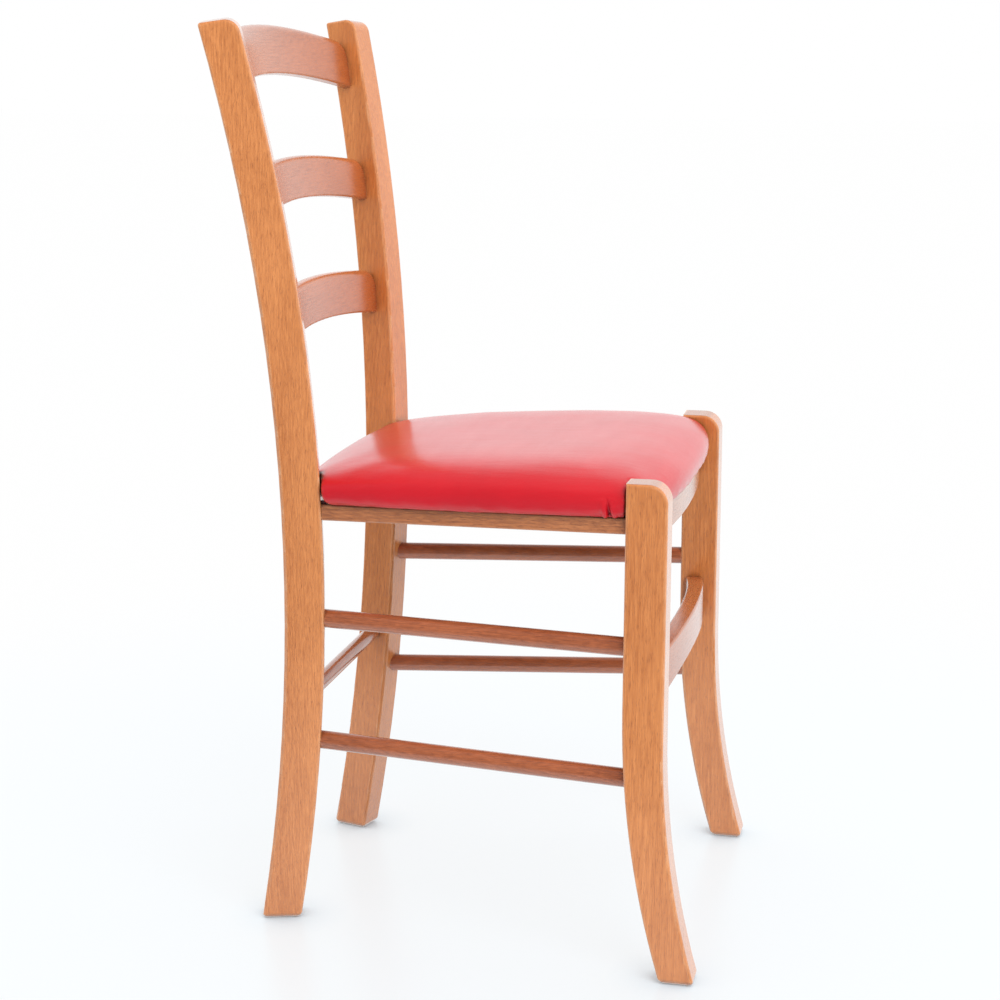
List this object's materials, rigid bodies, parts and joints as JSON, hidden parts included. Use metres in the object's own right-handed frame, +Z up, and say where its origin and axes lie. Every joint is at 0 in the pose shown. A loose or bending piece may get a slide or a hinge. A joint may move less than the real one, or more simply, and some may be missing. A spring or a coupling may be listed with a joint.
{
  "type": "upholstered chair",
  "caption": "Wooden dining chair with a bowed ladder back, sabre legs, round stretchers and a padded red leatherette seat.",
  "frame": {"origin": "on the floor, under the middle of the chair's bounding box", "axes": "+Z up; the chair faces -Y, so +Y is the rear and +X is the sitter's left"},
  "size_m": [0.4286, 0.4806, 0.8818],
  "materials": {
    "stained_beech": "satin lacquer",
    "dark_beech": "satin lacquer, darker stain",
    "plywood": "raw sanded birch plywood",
    "foam": "open cell upholstery foam",
    "leatherette": "soft satin leatherette",
    "dust_cloth": "matt non-woven cloth",
    "staple_wire": "plain wire",
    "zinc_screw": "zinc plated"
  },
  "bodies": {
    "root": {"rear_post_right": "stained_beech", "rear_post_left": "stained_beech", "front_leg_right": "stained_beech", "front_leg_left": "stained_beech", "top_slat": "stained_beech", "middle_slat": "stained_beech", "bottom_slat": "stained_beech", "side_rail_right": "stained_beech", "side_rail_left": "stained_beech", "front_rail": "stained_beech", "rear_rail": "stained_beech", "front_stretcher": "stained_beech", "upper_side_stretcher_right": "dark_beech", "upper_side_stretcher_left": "dark_beech", "lower_side_stretcher_right": "dark_beech", "lower_side_stretcher_left": "dark_beech", "rear_stretcher": "dark_beech", "seat_board": "plywood", "seat_foam": "foam", "seat_cover": "leatherette", "dust_cover": "dust_cloth", "cover_staples": "staple_wire", "dust_cover_staples": "staple_wire", "seat_screws": "zinc_screw"}
  },
  "joints": []
}
